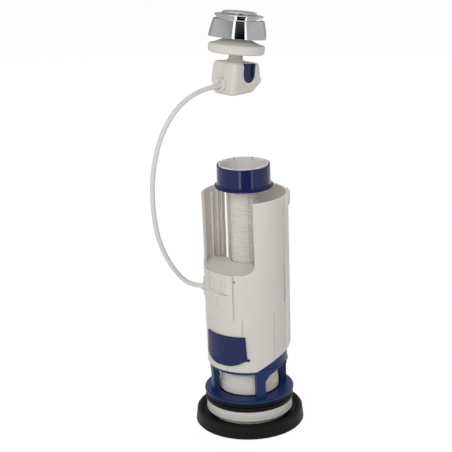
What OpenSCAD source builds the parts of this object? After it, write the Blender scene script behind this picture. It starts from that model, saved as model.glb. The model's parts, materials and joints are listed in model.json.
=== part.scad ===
// Cable-operated dual-flush toilet valve with its push-button head, in millimetres.
// +Z is up, the origin is the centre of the base seal's underside, and the cable side faces -Y.
// Angles round the valve are counted from -Y towards +X.

/* [Base] */
// Outer diameter of the base seal at its foot
seal_d = 97.2; // [92:0.2:110]
// Height of the base seal's rim
seal_h = 13; // [12:0.5:18]
// Height of the dished floor that the back nut rests on
seal_floor_h = 9; // [6:0.5:10]
// Largest diameter of the back nut
nut_d = 78; // [74:0.5:84]
// Height of the back nut
nut_h = 12.7; // [10:0.1:16]
// Diameter of the flange gasket
gasket_d = 79; // [74:0.5:84]
// Height of the flange gasket
gasket_h = 7.9; // [5:0.1:10]

/* [Cage] */
// Diameter of the cage flange
flange_d = 80; // [76:0.5:86]
// Thickness of the cage flange
flange_t = 3; // [2.5:0.1:4]
// Diameter of the outlet bore below the seat
outlet_d = 49; // [46:0.5:50]
// Width of a cage leg
leg_w = 8.2; // [6:0.2:10]
// Height of the open cage between flange and body
cage_h = 25.9; // [24:0.1:32]

/* [Body] */
// Diameter of the body at its foot
body_d_bottom = 72.6; // [71:0.2:75]
// Diameter of the body at its top
body_d_top = 75.8; // [75:0.2:79]
// Height of the body
body_h = 154.5; // [150:0.5:175]
// Wall thickness of the body
body_wall = 2; // [1.6:0.1:2.4]
// Half width of the upper window
window_half_w = 31; // [28:0.5:33]
// Height of the window sill above the body's foot
sill_h = 90.5; // [90:0.5:96]

/* [Overflow] */
// Outer diameter of the overflow riser
riser_d = 24.6; // [23.6:0.1:25]
// Outer diameter of the blue collar
collar_d = 46.6; // [45:0.2:50]
// Height of the blue collar
collar_h = 20; // [16:0.5:24]
// Height of the collar's foot above the body's top
collar_gap = 6; // [4:0.5:10]
// How far the riser pulls up
riser_travel = 30; // [20:1:34]

/* [Valve] */
// Diameter of the bell's overflow tube
tube_d = 25; // [24.4:0.1:25]
// Height of the float
float_h = 28; // [20:0.5:30]
// How far the valve lifts at a full flush
valve_lift = 8; // [6:0.1:8]

/* [Shutter] */
// Height of the volume shutter
shutter_h = 26.5; // [24:0.5:28]
// Half angle of the shutter at its foot
shutter_half_angle = 34.5; // [32:0.5:36]
// How far the shutter slides up
shutter_travel = 12; // [8:0.5:13]

/* [Head] */
// Width and depth of the head housing
head_w = 28; // [27:0.5:32]
// Height of the head housing
head_h = 28; // [27:0.5:32]
// Backward lean of the head
head_tilt = 9; // [0:0.5:12]
// Outer diameter of the threaded stem
stem_d = 12; // [11.4:0.2:13]
// Diameter of the clamp nut across its corners
clamp_d = 47.5; // [44:0.5:50]
// Height of the clamp nut's rim
clamp_h = 8; // [6:0.5:9]
// Diameter of the bezel at its foot
bezel_d = 49.4; // [47:0.2:54]
// Diameter of the bezel's mouth
bezel_mouth_d = 42; // [40:0.2:43]
// Height of the bezel
bezel_h = 15; // [14:0.5:18]
// Diameter of the half-flush button
half_d = 29.6; // [28:0.2:31]
// How far the full-flush button is pressed
full_travel = 5.5; // [4:0.1:5.5]
// How far the half-flush button is pressed
half_travel = 3; // [2:0.1:3]

/* [Cable] */
// Diameter of the cable's outer sleeve
cable_d = 4; // [3.6:0.1:4.4]

/* [Fits] */
// Gap between pieces that slide past each other
slide_gap = 0.4; // [0.3:0.05:0.6]
// Gap between pieces that are pushed together
seat_gap = 0.15; // [0.1:0.05:0.25]
// Radial clearance of a pin that a lever turns on
pin_gap = 0.05; // [0.03:0.01:0.08]

/* [Hidden] */

$fn = 96;
white = [0.80, 0.785, 0.765];
navy = [0.17, 0.18, 0.36];
cage_blue = [0.16, 0.24, 0.44];
black = [0.12, 0.12, 0.12];
chrome = [0.68, 0.68, 0.70];
steel = [0.6, 0.6, 0.62];

// Heights of the stack, each resting on the one below
nut_z = seal_floor_h;
gasket_z = nut_z + nut_h;
flange_z = gasket_z + gasket_h;
flange_top = flange_z + flange_t;
body_z = flange_top + cage_h;
body_top = body_z + body_h;
sill_z = body_z + sill_h;
tail_end_z = 1;

// Diameters that follow the outlet
tail_wall = 5.3;
tail_d = outlet_d + 2 * tail_wall;
seat_w = 3;
throat_d = outlet_d + 2 * seat_w;
bell_gap = 1;
bell_d = throat_d - 2 * bell_gap;
float_d = bell_d;

// The cable's route from the head to the valve
cable_route = [[0, -26, 311], [0, -30, 311], [0, -38, 311], [-1, -46, 310], [-2, -54, 308],
    [-3, -62, 305], [-5, -70, 299], [-7, -77, 291], [-9, -82, 282], [-11, -85, 273], [-13, -87, 264],
    [-15, -88, 255], [-17, -88, 246], [-19, -88, 237], [-21, -87, 228], [-23, -85, 217],
    [-24, -83, 207], [-26, -81, 198], [-27, -78, 189], [-28, -75, 180], [-28, -71, 171],
    [-28, -67, 163], [-28, -62, 155], [-28, -56, 147], [-28, -49, 139], [-27, -45, 135],
    [-24, -40, 133], [-21, -35, 131.5]];
cable_sides = 10;
head_end = cable_route[0];
valve_end = cable_route[len(cable_route) - 1];
valve_end_dir = cable_route[len(cable_route) - 2] - valve_end;
cable_az = atan2(valve_end[0], -valve_end[1]);
cable_rise = atan2(valve_end_dir[2], norm([valve_end_dir[0], valve_end_dir[1]]));
cable_end_r = norm([valve_end[0], valve_end[1]]);

function body_r(z) = (body_d_bottom + (body_d_top - body_d_bottom) * (z - body_z) / body_h) / 2;
function bore_r(z) = body_r(z) - body_wall;

// A solid of revolution from points given as radius and height
module revolve(points) {
    rotate_extrude() polygon(points);
}

// Part of a solid of revolution between two angles round the valve
module sector(from, to, points) {
    rotate([0, 0, from - 90]) rotate_extrude(angle = to - from) polygon(points);
}

// Turns a piece that faces -Y to an angle round the valve
module at_angle(a) {
    rotate([0, 0, a]) children();
}

// A flat shape, across by up, pushed outwards from one radius to another on the -Y side
module radial(r0, r1) {
    rotate([90, 0, 0]) translate([0, 0, r0]) linear_extrude(r1 - r0) children();
}

// A flat shape, radius by height, given a width across the -Y direction
module upright(w) {
    rotate([0, 0, -90]) rotate([90, 0, 0]) linear_extrude(w, center = true) children();
}

// A flat shape, depth by height in the head, given a width across it
module head_side(w) {
    rotate([90, 0, 90]) linear_extrude(w, center = true) children();
}

module ring(r0, r1, z0, z1) {
    translate([0, 0, z0]) difference() {
        cylinder(r = r1, h = z1 - z0);
        translate([0, 0, -1]) cylinder(r = r0, h = z1 - z0 + 2);
    }
}

// A rod between a point and a second point a length away along a direction
module rod_along(start, direction, r, length) {
    turn = [0, acos(direction[2] / norm(direction)), atan2(direction[1], direction[0])];
    translate(start) rotate(turn) cylinder(r = r, h = length);
}

// A tube of sides swept through rings of points
module sweep(rings) {
    n = len(rings[0]);
    last = len(rings) - 1;
    walls = [for (i = [0 : last - 1], j = [0 : n - 1])
        [i * n + j, i * n + (j + 1) % n, (i + 1) * n + (j + 1) % n, (i + 1) * n + j]];
    foot = [for (j = [n - 1 : -1 : 0]) j];
    head = [for (j = [0 : n - 1]) last * n + j];
    polyhedron([for (r = rings, p = r) p], concat(walls, [foot, head]));
}

function unit(v) = v / norm(v);

// Ring of points round a route point, square to the route and level with its plane
function route_ring(route, i, r, sides, side) =
    let (last = len(route) - 1,
        t = unit(route[min(i + 1, last)] - route[max(i - 1, 0)]),
        b = unit(side - (side * t) * t),
        c = cross(t, b))
    [for (j = [0 : sides - 1]) route[i] + r * (cos(360 * j / sides) * b + sin(360 * j / sides) * c)];

// A coil spring standing on a height, with its ends left open
module coil_spring(r, wire_r, z0, height, turns) {
    steps = 14 * turns;
    sides = 6;
    rings = [for (i = [0 : steps])
        let (a = 360 * turns * i / steps, z = z0 + wire_r + (height - 2 * wire_r) * i / steps)
        [for (j = [0 : sides - 1])
            let (w = 360 * j / sides, d = r + wire_r * cos(w))
            [d * cos(a), d * sin(a), z - wire_r * sin(w)]]];
    sweep(rings);
}

// Base stack
seal_rim_w = 2.6;
seal_top_r = seal_d / 2 - 1.4;
seal_dish_r = nut_d / 2 + 3;
seal_hole_r = tail_d / 2 + 1.4;
tail_r = tail_d / 2;

module base_seal() {
    lip_r = seal_top_r - seal_rim_w;
    color(black) revolve([[seal_hole_r, 0], [seal_d / 2 - 1, 0], [seal_d / 2, 1.2],
        [seal_top_r + 0.3, seal_h - 1.6], [seal_top_r - 0.5, seal_h - 0.4], [seal_top_r - 1.4, seal_h],
        [lip_r + 0.4, seal_h], [lip_r - 0.4, seal_h - 0.6], [seal_dish_r, seal_floor_h + 0.9],
        [seal_dish_r - 0.9, seal_floor_h], [seal_hole_r, seal_floor_h]]);
}

nut_step_h = 3.6;
nut_grip_in = 4;
nut_ridge_count = 72;
nut_ridge_depth = 0.45;
nut_recess_h = 1.4;

// The nut's lower band, finely ridged for grip
module nut_grip() {
    r = nut_d / 2 - nut_grip_in;
    steps = 2 * nut_ridge_count;
    linear_extrude(nut_step_h + 0.5)
        polygon([for (i = [0 : steps - 1])
            let (a = 360 * i / steps, d = r - (i % 2) * nut_ridge_depth)
            [d * cos(a), d * sin(a)]]);
}

module back_nut() {
    r = nut_d / 2;
    hole = tail_r + seat_gap;
    step_z = nut_z + nut_step_h;
    color(white) difference() {
        union() {
            translate([0, 0, nut_z]) nut_grip();
            revolve([[0, step_z], [r - 0.9, step_z], [r - 0.5, step_z + 0.4], [r - 0.4, step_z + 1.1],
                [r - 0.7, step_z + 1.5], [r - 0.5, gasket_z - 1.2], [r - 1.2, gasket_z], [0, gasket_z]]);
        }
        translate([0, 0, nut_z - 1]) cylinder(r = hole, h = nut_h + 2);
        revolve([[0, gasket_z - nut_recess_h], [r - 7, gasket_z - nut_recess_h], [r - 6.2, gasket_z + 1],
            [0, gasket_z + 1]]);
    }
}

module flange_gasket() {
    r = gasket_d / 2;
    hole = tail_r + seat_gap;
    mid = gasket_z + gasket_h * 0.56;
    color(black) revolve([[hole, gasket_z], [r - 1, gasket_z], [r - 0.2, gasket_z + 0.8],
        [r, gasket_z + gasket_h * 0.3], [r - 0.4, mid - 0.6], [r - 1.6, mid], [r - 1.6, mid + 0.5],
        [r - 0.5, mid + 1], [r - 0.3, flange_z - 0.8], [r - 1, flange_z], [hole, flange_z]]);
}

// Cage
leg_count = 4;
leg_turn = 63;
leg_r0 = throat_d / 2 + 1.8;
leg_r1 = body_d_bottom / 2 - 1.9;
cage_ring_h = 6.4;
cage_ring_z = body_z - cage_ring_h;
spigot_h = 5.5;
spigot_r1 = bore_r(body_z) - 0.4;
seat_depth = 2.2;
seat_z = flange_top - seat_depth;
seat_step = 0.7;
retainer_room = 2.5;
gusset_h = 5.6;
gusset_w = 4.4;
leg_half_angle = asin(leg_w / 2 / leg_r0) - 1.5;
ramp_turn = 120;
ramp_start = 15.2;
ramp_slope = 30;
ramp_fit = 0.05;
ramp_h = (body_d_bottom / 2 - ramp_start) * tan(ramp_slope);
ramp_drop = 11.5;
front_port_from = leg_turn - 360 / leg_count + leg_half_angle;
front_port_to = leg_turn - leg_half_angle;
front_port_z1 = body_z - 2.6;

// Everything under the ramp on which the body's rim climbs, moved down by a distance
module below_ramp(down) {
    size = 2 * body_d_bottom;
    at_angle(ramp_turn) translate([0, -ramp_start, body_z - down]) rotate([-ramp_slope, 0, 0])
        translate([-size / 2, -size, -size]) cube(size);
}

// A leg with a gusset at its top on each side that isn't the open front port
module cage_leg(gusset_left, gusset_right) {
    half = leg_w / 2;
    foot = flange_top - 1;
    top = cage_ring_z + 1;
    left = half + gusset_left * gusset_w;
    right = half + gusset_right * gusset_w;
    intersection() {
        radial(leg_r0 - 4, leg_r1 + 4)
            polygon([[-half, foot], [half, foot], [half, top - gusset_h], [right, top], [half, body_z - 1],
                [-half, body_z - 1], [-left, top], [-half, top - gusset_h]]);
        ring(leg_r0, leg_r1, foot, body_z);
    }
    radial(leg_r1 - 1.5, leg_r1 + 0.8)
        translate([-half + 1.2, foot]) square([leg_w - 2.4, 2.6]);
}

module cage_base() {
    r = flange_d / 2;
    throat = throat_d / 2;
    color(cage_blue) {
        revolve([[outlet_d / 2, tail_end_z], [tail_r - 0.8, tail_end_z], [tail_r, tail_end_z + 0.8],
            [tail_r, flange_z], [r - 0.9, flange_z], [r - 0.2, flange_z + 0.5], [r, flange_z + 1.3],
            [r - 0.3, flange_top - 0.7], [r - 1.1, flange_top - 0.1], [r - 2, flange_top],
            [throat + 0.6, flange_top], [throat, flange_top - 0.6], [throat, seat_z],
            [outlet_d / 2 + seat_step, seat_z], [outlet_d / 2 + seat_step, seat_z - retainer_room],
            [outlet_d / 2, seat_z - retainer_room]]);
        for (i = [0 : leg_count - 1])
            at_angle(leg_turn + i * 360 / leg_count) cage_leg(i == 0 ? 0 : 1, i == leg_count - 1 ? 0 : 1);
        difference() {
            revolve([[leg_r0 + 0.8, cage_ring_z], [leg_r1 + 0.2, cage_ring_z], [leg_r1 + 0.5, body_z - 1.5],
                [leg_r1 + 0.9, body_z], [spigot_r1, body_z], [spigot_r1, body_z + spigot_h - 0.8],
                [spigot_r1 - 0.6, body_z + spigot_h], [leg_r0 + 0.8, body_z + spigot_h]]);
            sector(front_port_from, front_port_to, [[leg_r0 - 1, cage_ring_z - 1],
                [leg_r1 + 2, cage_ring_z - 1], [leg_r1 + 2, front_port_z1], [leg_r0 - 1, front_port_z1]]);
            below_ramp(ramp_drop);
        }
        intersection() {
            ring(leg_r0 + 1.2, leg_r1 + 0.3, body_z - 1, body_z + ramp_h + 1);
            below_ramp(ramp_fit);
        }
        for (i = [0, 1])
            intersection() {
                at_angle(leg_turn + i * 360 / leg_count) radial(leg_r0 - 4, leg_r1 + 4)
                    translate([0.3 - leg_w / 2, body_z - 3]) square([leg_w - 0.6, ramp_h + 4]);
                ring(leg_r0 + 0.3, leg_r1 - 0.3, body_z - 4, body_z + ramp_h + 1);
                below_ramp(ramp_fit);
            }
    }
}

// Body
shelf_z = sill_z - 0.5;
shelf_rise = 3.5;
shelf_t = 2.4;
shelf_back_y = -6;
window_corner_r = 8;
slot_angle = 108;
slot_w = 2.4;
slot_z0 = sill_z - 32;
slot_z1 = body_top - 9;
rail_from = 112;
rail_to = 150;
rail_proud = 1.2;
ear_proud = 1.9;
ear_h = 10.5;
rib_angles = [80, 92, 100];
rib_depth = 1.3;
rib_w = 0.9;

shutter_z = body_z + 7.5;
shutter_turn = 9.5;
guide_angle = 28.5;
guide_slit_w = 1.5;
guide_slit_z0 = shutter_z + 3;
hook_h = 6;
slit_spare = 2;
guide_slit_z1 = guide_slit_z0 + hook_h + shutter_travel + slit_spare;
port_angle = 18;
port_z0 = shutter_z + 6;
port_z1 = shutter_z + 20;
release_hole_angle = 27.6;
release_hole_r = 1;
release_hole_z = sill_z - 6;
line_w = 0.7;
line_depth = 0.7;
guide_line_z0 = shutter_z + shutter_h - 2;
guide_line_z1 = guide_line_z0 + 16.5;
seam_angle = 14;
side_line_angle = 84;
side_line_h = 54;

lever_pivot_r = 29;
lever_z = body_z + 57.5;
lever_swing = 32;
lever_w = 5;
lever_pin_r = 1.5;
lug_w = 2.2;
lug_gap = lever_w / 2 + slide_gap;

ferrule_r = cable_d / 2 + 0.5;
ferrule_inside = 1.2;
ferrule_wall_z = valve_end[2] - (cable_end_r - body_r(valve_end[2])) * tan(cable_rise);

bracket_z0 = body_z + 49.5;
bracket_z1 = sill_z;
bracket_fit = 0.05;
bracket_r0 = body_r(bracket_z0) - 0.8;
bracket_r1 = bracket_r0 + 2.2;
bracket_half_w = 16.4;
bracket_ear_w = 22.5;
ear_half_h = 8;

module window_cut() {
    top = body_top + 1;
    w = window_half_w;
    c = window_corner_r;
    radial(8, body_d_top) {
        translate([-w, sill_z + c]) square([2 * w, top - sill_z - c]);
        translate([c - w, sill_z]) square([2 * (w - c), c + 1]);
        for (s = [-1, 1])
            translate([s * (w - c), sill_z + c]) circle(c);
    }
}

module lever_lugs() {
    for (s = [-1, 1])
        at_angle(cable_az) translate([s * (lug_gap + lug_w / 2), 0, 0])
            upright(lug_w)
                polygon([[lever_pivot_r - 3.2, lever_z - 3], [lever_pivot_r - 1, lever_z - 5],
                    [bore_r(lever_z) + 1, lever_z - 9], [bore_r(lever_z) + 1, lever_z + 6],
                    [lever_pivot_r - 1, lever_z + 4], [lever_pivot_r - 3.2, lever_z + 2]]);
}

module pivot_bore(r, w) {
    at_angle(cable_az) translate([-w / 2, -lever_pivot_r, lever_z]) rotate([0, 90, 0])
        cylinder(r = r, h = w);
}

module ferrule_axis(r, back, ahead) {
    dir = unit(valve_end_dir);
    rod_along(valve_end - dir * back, dir, r, back + ahead);
}

module body_rails(s) {
    inner = body_r(body_z) - 0.6;
    top_inner = body_r(body_top) - 1.2;
    out = body_r(body_top) + rail_proud - 1;
    ear_z = body_top - ear_h;
    from = s > 0 ? rail_from : -rail_to;
    to = s > 0 ? rail_to : -rail_from;
    sector(from, to, [[inner - 0.4, body_z + 10], [inner + 0.4, body_z + 10], [out, body_z + 17],
        [out, ear_z], [out + ear_proud - 0.4, ear_z + 1], [out + ear_proud - 0.2, body_top - 0.6],
        [out + ear_proud - 0.8, body_top], [top_inner, body_top], [top_inner, ear_z]]);
}

// Front half of the floor inside the body, hollowed for the riser
module body_shelf() {
    hole = riser_d / 2 + tooth_depth + slide_gap;
    intersection() {
        revolve([[hole, shelf_z + shelf_rise - shelf_t], [bore_r(sill_z) + 1, shelf_z - shelf_t],
            [bore_r(sill_z) + 1, shelf_z], [hole, shelf_z + shelf_rise]]);
        translate([-body_d_top, -body_d_top, shelf_z - 2 * shelf_t])
            cube([2 * body_d_top, body_d_top + shelf_back_y, 4 * shelf_t]);
    }
}

module valve_body() {
    r0 = body_r(body_z);
    r1 = body_r(body_top);
    color(white) difference() {
        union() {
            difference() {
                revolve([[r0 - body_wall, body_z], [r0 - 0.4, body_z], [r0, body_z + 0.5],
                    [r1, body_top - 0.6], [r1 - 0.6, body_top], [r1 - body_wall, body_top]]);
                window_cut();
            }
            body_shelf();
            for (s = [-1, 1]) {
                body_rails(s);
                for (a = rib_angles)
                    at_angle(s * a) radial(bore_r(sill_z) - rib_depth, bore_r(sill_z) + 1)
                        translate([-rib_w / 2, shelf_z - 1]) square([rib_w, body_top - shelf_z - 4]);
            }
            lever_lugs();
        }
        for (s = [-1, 1]) {
            at_angle(s * slot_angle) radial(bore_r(body_z) - 3, r1 + 5)
                translate([-slot_w / 2, slot_z0]) square([slot_w, slot_z1 - slot_z0]);
            at_angle(shutter_turn + s * guide_angle) {
                radial(bore_r(body_z) - 3, r1 + 5)
                    translate([-guide_slit_w / 2, guide_slit_z0])
                        square([guide_slit_w, guide_slit_z1 - guide_slit_z0]);
                radial(body_r(guide_line_z1) - line_depth, r1 + 5)
                    translate([-line_w / 2, guide_line_z0]) square([line_w, guide_line_z1 - guide_line_z0]);
            }
        }
        at_angle(seam_angle) radial(r0 - line_depth, r1 + 5)
            translate([-line_w / 2, body_z - 1]) square([line_w, shutter_z - body_z]);
        at_angle(shutter_turn)
            sector(-port_angle, port_angle, [[bore_r(body_z) - 2, port_z0], [r1 + 4, port_z0],
                [r1 + 4, port_z1], [bore_r(body_z) - 2, port_z1]]);
        at_angle(side_line_angle) radial(r0 - line_depth, r1 + 5)
            translate([-line_w / 2, body_z - 1]) square([line_w, side_line_h]);
        below_ramp(0);
        bracket_plan(bracket_r0 - bracket_fit, r1 + 6, bracket_fit);
        ferrule_axis(ferrule_r + seat_gap, 40, 20);
        pivot_bore(lever_pin_r + seat_gap, 4 * lug_gap);
        at_angle(release_hole_angle) radial(bore_r(body_z) - 3, r1 + 5)
            translate([0, release_hole_z]) circle(release_hole_r);
    }
}

// Shutter
shutter_gap = slide_gap - 0.1 + shutter_travel * (body_d_top - body_d_bottom) / 2 / body_h;
shutter_t = 0.9;
shutter_lean = 4;
shutter_lip = 0.9;
shutter_foot_h = 1.6;
shutter_tab = 3;
shutter_tab_h = 1.8;
shutter_corner_rise = 6.2;
shutter_half_w = body_d_bottom / 2 * sin(shutter_half_angle);
shutter_foot_r = (pow(shutter_half_w, 2) + pow(shutter_corner_rise, 2)) / 2 / shutter_corner_rise;
hook_neck = 0.7;
hook_w = 3;
hook_t = 1.6;
hook_z = guide_slit_z0 + 1;

module flush_shutter() {
    z0 = shutter_z;
    z1 = shutter_z + shutter_h;
    r0 = body_r(z0) + shutter_gap;
    r1 = body_r(z1) + shutter_gap;
    t = shutter_t;
    a = shutter_half_angle;
    foot = z0 - shutter_foot_h;
    lip = r0 + t + shutter_lip;
    tab_z = foot + shutter_corner_rise - 0.6;
    color(navy) at_angle(shutter_turn) {
        intersection() {
            difference() {
                union() {
                    sector(-a, a, [[r0, z0], [r0 + t, z0], [r1 + t, z1 - 0.5], [r1 + t - 0.5, z1], [r1, z1]]);
                    sector(-a, a, [[r0, foot], [r0 + t, foot], [lip, foot + 0.8], [lip, foot + 2.4],
                        [r0 + t, foot + 5.6], [r0, foot + 5.6]]);
                }
                for (s = [-1, 1])
                    at_angle(s * a) translate([0, 0, z0]) rotate([0, -s * shutter_lean, 0])
                        translate([s > 0 ? 0 : -6, -r1 - 5, -3]) cube([6, 16, shutter_h * 2]);
            }
            radial(r0 / 2, r1 + 4) {
                translate([0, foot + shutter_foot_r]) circle(shutter_foot_r);
                translate([-r1, foot + shutter_foot_r / 2]) square([2 * r1, shutter_h]);
            }
        }
        sector(a - 3, a + shutter_tab, [[r0, tab_z], [r0 + t, tab_z], [r0 + t, tab_z + shutter_tab_h],
            [r0, tab_z + shutter_tab_h]]);
        for (s = [-1, 1])
            at_angle(s * guide_angle) {
                inside = bore_r(hook_z) - slide_gap;
                radial(inside - 1, r0 + t / 2)
                    translate([-hook_neck / 2, hook_z]) square([hook_neck, hook_h]);
                radial(inside - hook_t, inside)
                    translate([-hook_w / 2, hook_z]) square([hook_w, hook_h]);
            }
    }
}

// Cable bracket: a framed clip plate with an ear on its left for the cable's end
function bracket_outline(grow) =
    let (w = bracket_half_w + grow, ear = bracket_ear_w + grow,
        z0 = bracket_z0 - grow, z1 = bracket_z1 + grow,
        ear_z0 = ferrule_wall_z - ear_half_h - grow, ear_z1 = ferrule_wall_z + ear_half_h + grow)
    [[-w, z0], [w, z0], [w, z1], [-w, z1], [-w, ear_z1], [-ear, ear_z1], [-ear, ear_z0], [-w, ear_z0]];

module bracket_plan(r0, r1, grow) {
    intersection() {
        ring(r0, r1, bracket_z0 - 2, bracket_z1 + 2);
        radial(r0 / 2, r1 + 1) polygon(bracket_outline(grow));
    }
}

bracket_sink = 0.9;
bracket_rim_x = 10.5;
bracket_split_z = ferrule_wall_z;
arch_r = 9.6;

// A flat shape sunk into the bracket's curved face
module bracket_pocket(depth) {
    intersection() {
        radial(bracket_r0 / 2, bracket_r1 + 2) children();
        ring(bracket_r1 - depth, bracket_r1 + 2, bracket_z0 - 1, bracket_z1 + 1);
    }
}

module cable_bracket() {
    boss_back = cable_end_r - bracket_r0 + 2;
    bar_x = 4.2;
    bar_w = 1.5;
    pocket_z0 = bracket_split_z + 1;
    pocket_h = bracket_z1 + 1 - pocket_z0;
    arch_x = bracket_rim_x - 0.4;
    arch_z0 = bracket_z0 + 6;
    color(white) difference() {
        union() {
            bracket_plan(bracket_r0, bracket_r1, 0);
            intersection() {
                ferrule_axis(cable_d / 2 + 1.4, boss_back, -1.6);
                ring(bracket_r0, cable_end_r, bracket_z0, bracket_z1);
            }
        }
        bracket_pocket(bracket_sink) {
            translate([-9, pocket_z0]) square([bar_x + 9, pocket_h]);
            translate([bar_x + bar_w, pocket_z0]) square([bracket_rim_x - bar_x - bar_w, pocket_h]);
            intersection() {
                translate([arch_x, arch_z0 + arch_r]) circle(arch_r);
                translate([0, arch_z0]) square([arch_x, bracket_split_z - arch_z0 - 3]);
            }
        }
        bracket_pocket(2 * bracket_sink)
            translate([3, bracket_split_z - 0.3]) square([10.2, 0.7]);
        ferrule_axis(ferrule_r + seat_gap, 40, 20);
    }
}

module valve_ferrule() {
    length = (cable_end_r - bore_r(valve_end[2]) + ferrule_inside) / cos(cable_rise);
    color(white) ferrule_axis(ferrule_r, length, 0);
}

// Lift lever: the cable pulls its tall arm outwards and its long arm lifts the bell
wire_r = 0.7;
wire_gap = 0.25;
nose_r = 1.5;
nose_arm = valve_lift / (2 * sin(lever_swing / 2));
tip_arm = 10.5;
tip_r = 1.2;
lever_rest = -lever_swing / 2;
nose_u = nose_arm * cos(lever_rest);
nose_v = nose_arm * sin(lever_rest);
tip_u = tip_arm * sin(lever_swing / 2);
tip_v = tip_arm * cos(lever_swing / 2);
hub_r = lever_pin_r + 1.5;

// A round boss across the lever at a radius and height
module lever_boss(at, r) {
    at_angle(cable_az) translate([-lever_w / 2, -at[0], at[1]]) rotate([0, 90, 0])
        cylinder(r = r, h = lever_w);
}

module lift_lever() {
    pivot = [lever_pivot_r, lever_z];
    nose = pivot + [-nose_u, nose_v];
    tip = pivot + [-tip_u, tip_v];
    color(cage_blue) difference() {
        union() {
            lever_boss(pivot, hub_r);
            lever_boss(nose, nose_r);
            lever_boss(tip, tip_r);
            at_angle(cable_az) upright(lever_w)
                polygon([pivot + [0, -hub_r * 0.7], nose + [0, -nose_r * 0.7], nose + [0, nose_r * 0.4],
                    pivot + [-nose_u * 0.75, nose_v + nose_r * 0.45], pivot + [-1, 1]]);
            at_angle(cable_az) upright(lever_w)
                polygon([pivot + [hub_r * 0.6, 0], tip + [tip_r * 0.6, 0], tip - [tip_r * 0.6, 0],
                    pivot - [hub_r * 0.6, 0]]);
        }
        pivot_bore(lever_pin_r + pin_gap, 3 * lever_w);
    }
}

module lever_pin() {
    color(steel) pivot_bore(lever_pin_r, 2 * (lug_gap + lug_w));
}

// A wire between two points that stops just short of both
module pull_wire(from, to) {
    way = unit(to - from);
    rod_along(from + way * wire_gap, way, wire_r, norm(to - from) - 2 * wire_gap);
}

module valve_pull_wire() {
    inner_end = bore_r(valve_end[2]) - ferrule_inside;
    start = valve_end - unit(valve_end_dir) * (cable_end_r - inner_end) / cos(cable_rise);
    tip_out = lever_pivot_r - tip_u + tip_r;
    color(steel) pull_wire(start, [tip_out * sin(cable_az), -tip_out * cos(cable_az), lever_z + tip_v]);
}

// Bell, seal, float and overflow
bell_r = bell_d / 2;
bell_wall = 1.8;
bell_rib_count = 6;
bell_rib_w = 1.2;
seal_t = 2.5;
seal_proud = 0.6;
bell_z = seat_z + seal_t;
bell_top = body_z - 3;
tube_r = tube_d / 2;
tube_bore_r = tube_r - 3.8;
riser_r = riser_d / 2;
riser_wall = 1.8;
guide_r = riser_r - riser_wall - slide_gap;
flange_lift_z = lever_z + nose_v + nose_r + slide_gap;
lift_flange_t = 2.5;
tube_top = lever_z + 10;
guide_engaged = 29.6;
guide_top = tube_top + slide_gap + riser_travel + guide_engaged;
float_z = body_z + 10;
float_ledge_t = 1.6;
float_wall = 1.5;
retainer_r = outlet_d / 2 - 1.2;

module valve_bell() {
    step_z = flange_top + 7.5;
    color(white) {
        revolve([[retainer_r - 2, bell_z], [bell_r - 0.4, bell_z], [bell_r, bell_z + 0.6], [bell_r, step_z],
            [bell_r - 0.6, step_z + 0.5], [bell_r - 0.8, bell_top - 5], [bell_r - 2.4, bell_top - 2.4],
            [tube_r + 4, bell_top - 0.6], [tube_r, bell_top + 2], [tube_r, float_z - 4],
            [tube_r + 2.6, float_z - seat_gap - float_ledge_t], [tube_r + 2.6, float_z - seat_gap],
            [tube_r, float_z - seat_gap], [tube_r, flange_lift_z], [tube_r + 4.5, flange_lift_z],
            [tube_r + 4.5, flange_lift_z + lift_flange_t], [tube_r, flange_lift_z + lift_flange_t],
            [tube_r, tube_top], [guide_r, tube_top], [guide_r, guide_top], [tube_bore_r, guide_top],
            [tube_bore_r, bell_top - 2], [bell_r - bell_wall - 0.8, bell_top - 6],
            [bell_r - bell_wall - 0.8, bell_z + 2], [retainer_r - 2, bell_z + 2]]);
        for (i = [0 : bell_rib_count - 1])
            at_angle(leg_turn - 10 + i * 360 / bell_rib_count) radial(bell_r - 1.4, bell_r - 0.3)
                translate([-bell_rib_w / 2, step_z - 1]) square([bell_rib_w, bell_top - step_z - 5]);
    }
}

module main_seal() {
    r = bell_r + seal_proud;
    color(black) revolve([[retainer_r - 2, seat_z], [r - 0.4, seat_z], [r, seat_z + 0.4],
        [r, bell_z - 0.4], [r - 0.4, bell_z], [retainer_r - 2, bell_z]]);
}

module seal_retainer() {
    r = retainer_r;
    sleeve = r - 2 - seat_gap;
    color(white) revolve([[sleeve - 1.8, seat_z - 2], [r - 0.4, seat_z - 2], [r, seat_z - 1.5], [r, seat_z],
        [sleeve, seat_z], [sleeve, bell_z + 2 + seat_gap], [sleeve + 0.8, bell_z + 2.6],
        [sleeve - 0.2, bell_z + 4.6], [sleeve - 1.8, bell_z + 4.6]]);
}

module float_cup() {
    r = float_d / 2;
    hole = tube_r + seat_gap;
    z0 = float_z;
    z1 = float_z + float_h;
    color(white) revolve([[hole, z0], [hole + float_wall, z0], [hole + float_wall, z1 - float_wall],
        [r - float_wall, z1 - float_wall], [r - float_wall, z0], [r, z0], [r - 0.2, z1 - 0.8],
        [r - 1, z1], [hole, z1]]);
}

riser_z = tube_top + slide_gap;
collar_z = body_top + collar_gap;
collar_top = collar_z + collar_h;
cup_r = collar_d / 2 - 1.3 - seat_gap;
cup_wall = 1.5;
tooth_count = 27;
tooth_pitch = 2.3;
tooth_z = sill_z + 4;
tooth_depth = 0.4;
rack_angle = 96;
rack_count = 14;
rack_pitch = 4.2;
rack_slant = 20;
rack_w = 9;
rack_t = 1.5;
rack_proud = 0.7;
flute_count = 8;
flute_r = 13;
flute_depth = 0.5;
notch_w = 1.4;

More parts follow.
